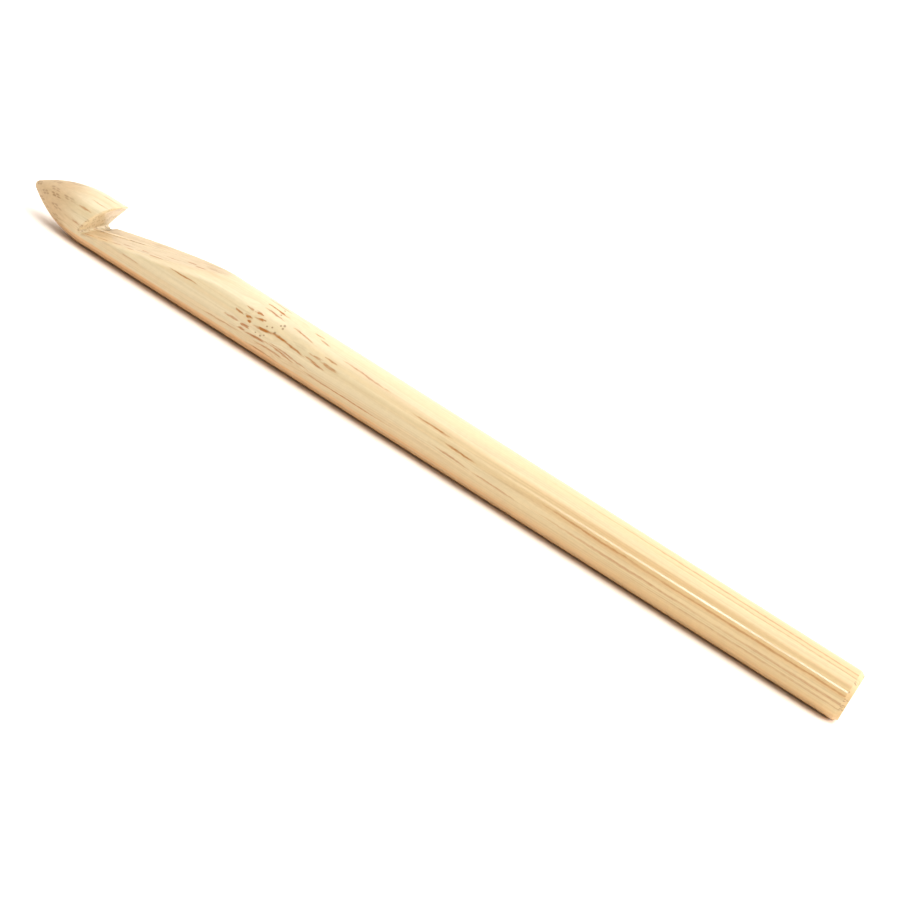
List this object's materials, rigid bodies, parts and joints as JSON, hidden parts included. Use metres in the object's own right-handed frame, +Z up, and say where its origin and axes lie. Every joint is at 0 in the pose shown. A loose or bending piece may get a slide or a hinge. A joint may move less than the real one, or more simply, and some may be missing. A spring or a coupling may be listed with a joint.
{
  "type": "crochet hook",
  "caption": "Solid bamboo crochet hook: round shaft, pointed inline head with an undercut lip, a flat sloping throat and a chamfered square butt.",
  "frame": {"origin": "under the middle of the hook's length, on the surface it lies on with its throat open upwards", "axes": "+X along the hook from nose to butt, +Z up out of the throat, +Y across the hook"},
  "size_m": [0.1524, 0.009, 0.009],
  "materials": {
    "bamboo": "satin clear lacquer over bare bamboo"
  },
  "bodies": {
    "root": {"hook": "bamboo"}
  },
  "joints": []
}
